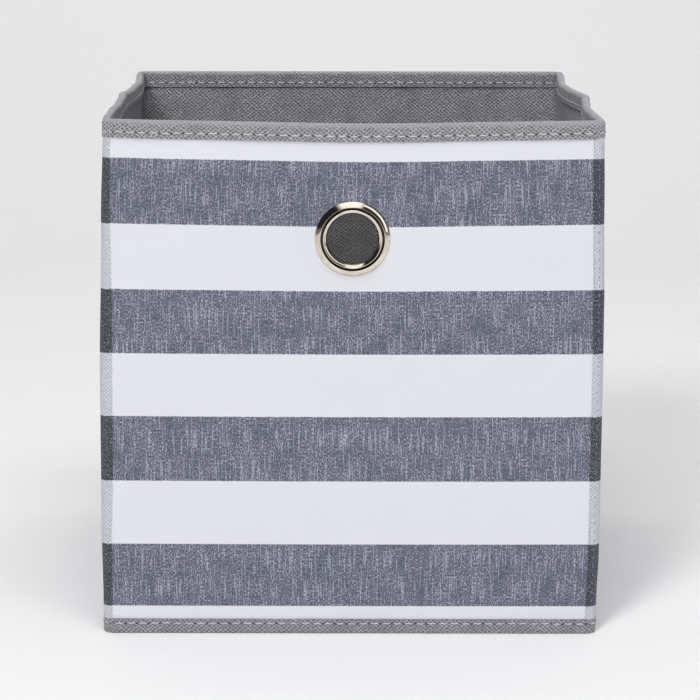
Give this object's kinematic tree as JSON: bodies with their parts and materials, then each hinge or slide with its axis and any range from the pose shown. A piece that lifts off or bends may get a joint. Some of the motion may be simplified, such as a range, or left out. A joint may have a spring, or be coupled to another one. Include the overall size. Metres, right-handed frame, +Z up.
{
  "type": "fabric storage cube",
  "caption": "Open-topped folding storage cube of striped cloth over stiff board, with a bound rim, a metal-ringed finger hole and a loose base board.",
  "frame": {"origin": "on the floor under the middle of the cube's outer walls, at the bottom face of the base cloth", "axes": "+Z up; -Y out of the front wall, which has the finger hole; +X to the right as seen from the front"},
  "size_m": [0.267, 0.2554, 0.279],
  "materials": {
    "printed_cloth": "matte",
    "lining_cloth": "matte",
    "binding_tape": "matte",
    "chipboard": "matte",
    "grommet_metal": "polished"
  },
  "bodies": {
    "back_wall": {"back_cover": "printed_cloth", "back_board": "chipboard", "back_lining": "lining_cloth", "back_rim_binding": "binding_tape", "rear_left_corner_seam": "printed_cloth", "rear_right_corner_seam": "printed_cloth", "base_cloth": "lining_cloth", "bottom_binding": "binding_tape"},
    "left_rear_half": {"left_rear_cover": "printed_cloth", "left_rear_board": "chipboard", "left_rear_lining": "lining_cloth", "left_rear_rim_binding": "binding_tape"},
    "left_front_half": {"left_front_cover": "printed_cloth", "left_front_board": "chipboard", "left_front_lining": "lining_cloth", "left_front_rim_binding": "binding_tape"},
    "front_wall": {"front_cover": "printed_cloth", "front_board": "chipboard", "front_lining": "lining_cloth", "front_rim_binding": "binding_tape", "front_left_corner_seam": "printed_cloth", "front_right_corner_seam": "printed_cloth", "grommet_washer": "grommet_metal", "grommet_eyelet": "grommet_metal"},
    "right_rear_half": {"right_rear_cover": "printed_cloth", "right_rear_board": "chipboard", "right_rear_lining": "lining_cloth", "right_rear_rim_binding": "binding_tape"},
    "right_front_half": {"right_front_cover": "printed_cloth", "right_front_board": "chipboard", "right_front_lining": "lining_cloth", "right_front_rim_binding": "binding_tape"},
    "base_insert": {"base_insert_board": "chipboard", "base_insert_cover": "lining_cloth"}
  },
  "joints": [
    {"name": "left_rear_corner_fold", "type": "hinge", "parent": "back_wall", "child": "left_rear_half", "pos_m": [-0.1275, 0.121, 0.1395], "axis": [0, 0, 1], "range_deg": [0, 90], "deforming": ["base_cloth", "bottom_binding"]},
    {"name": "left_crease_fold", "type": "hinge", "parent": "left_rear_half", "child": "left_front_half", "pos_m": [-0.135, 0, 0.1395], "axis": [0, 0, 1], "range_deg": [-180, 0]},
    {"name": "left_front_corner_fold", "type": "hinge", "parent": "left_front_half", "child": "front_wall", "pos_m": [-0.1275, -0.121, 0.1395], "axis": [0, 0, 1], "range_deg": [0, 90]},
    {"name": "right_rear_corner_fold", "type": "hinge", "parent": "back_wall", "child": "right_rear_half", "pos_m": [0.1275, 0.121, 0.1395], "axis": [0, 0, 1], "range_deg": [-90, 0]},
    {"name": "right_crease_fold", "type": "hinge", "parent": "right_rear_half", "child": "right_front_half", "pos_m": [0.135, 0, 0.1395], "axis": [0, 0, 1], "range_deg": [0, 180]},
    {"name": "base_board_lift", "type": "hinge", "parent": "back_wall", "child": "base_insert", "pos_m": [0, 0.1225, 0.0043], "axis": [-1, 0, 0], "range_deg": [0, 90]}
  ],
  "couplings": [
    {"joint": "left_crease_fold", "follows": "left_rear_corner_fold", "ratio": -2},
    {"joint": "left_front_corner_fold", "follows": "left_rear_corner_fold", "ratio": 1},
    {"joint": "right_rear_corner_fold", "follows": "left_rear_corner_fold", "ratio": -1},
    {"joint": "right_crease_fold", "follows": "left_rear_corner_fold", "ratio": 2}
  ]
}
